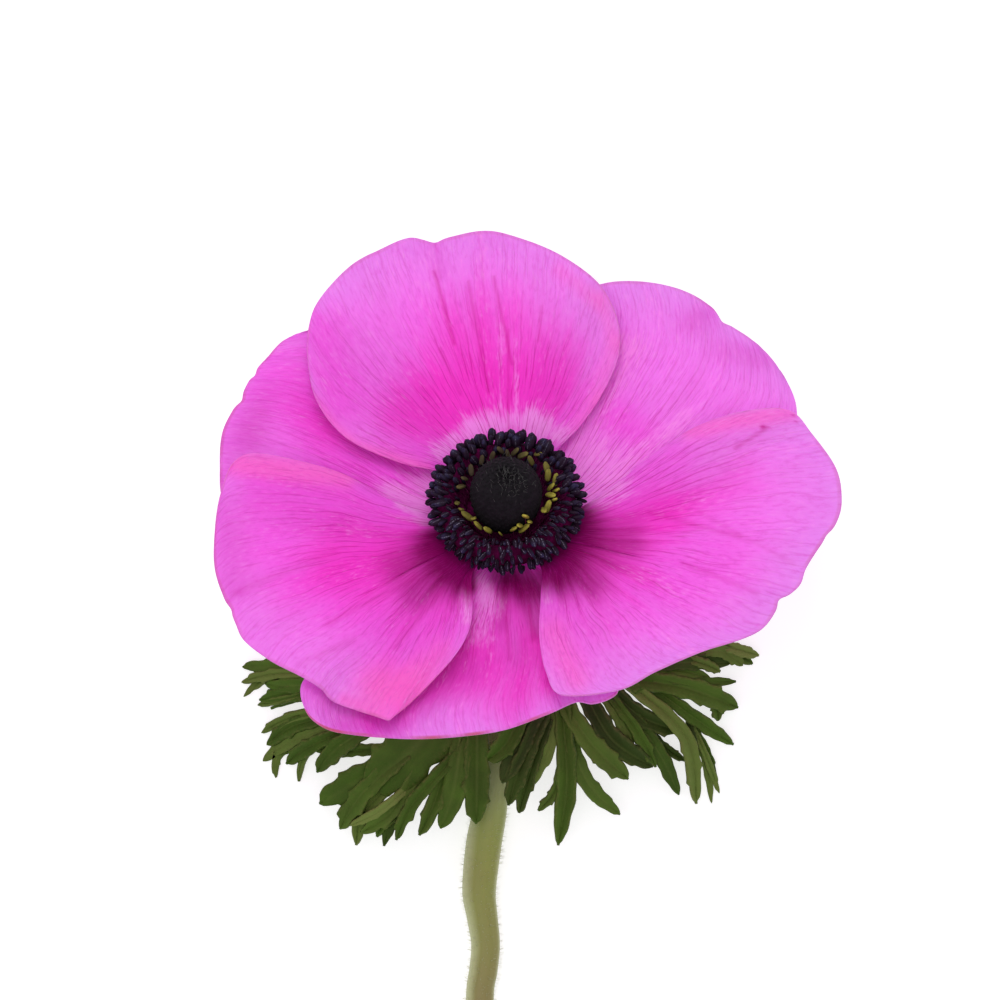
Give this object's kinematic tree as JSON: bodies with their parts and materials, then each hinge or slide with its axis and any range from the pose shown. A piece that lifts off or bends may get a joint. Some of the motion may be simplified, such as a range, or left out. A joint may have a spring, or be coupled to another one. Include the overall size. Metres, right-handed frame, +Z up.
{
  "type": "cut anemone flower",
  "caption": "Cut anemone flower lying face up: overlapping magenta petals round a dark pistil and stamen ring, a collar of cut green bracts and a gently curved stem.",
  "frame": {"origin": "on the table under the middle of the flower's bounding box", "axes": "+Z up from the table, +Y from the cut end of the stem towards the bloom, +X to the right seen from above"},
  "size_m": [0.0814, 0.1525, 0.039],
  "materials": {
    "petal": "soft satin",
    "stem": "finely hairy, matt",
    "leaf": "matt with a slight sheen",
    "pistil": "velvety",
    "anther_dark": "matt",
    "anther_olive": "matt"
  },
  "bodies": {
    "root": {"stem": "stem", "bract_left": "leaf", "bract_middle": "leaf", "bract_right": "leaf", "petal_inner_top": "petal", "petal_inner_left": "petal", "petal_inner_right": "petal", "petal_outer_left": "petal", "petal_outer_right": "petal", "petal_outer_bottom": "petal", "pistil": "pistil", "outer_stamens": "anther_dark", "inner_stamens": "anther_olive"}
  },
  "joints": []
}
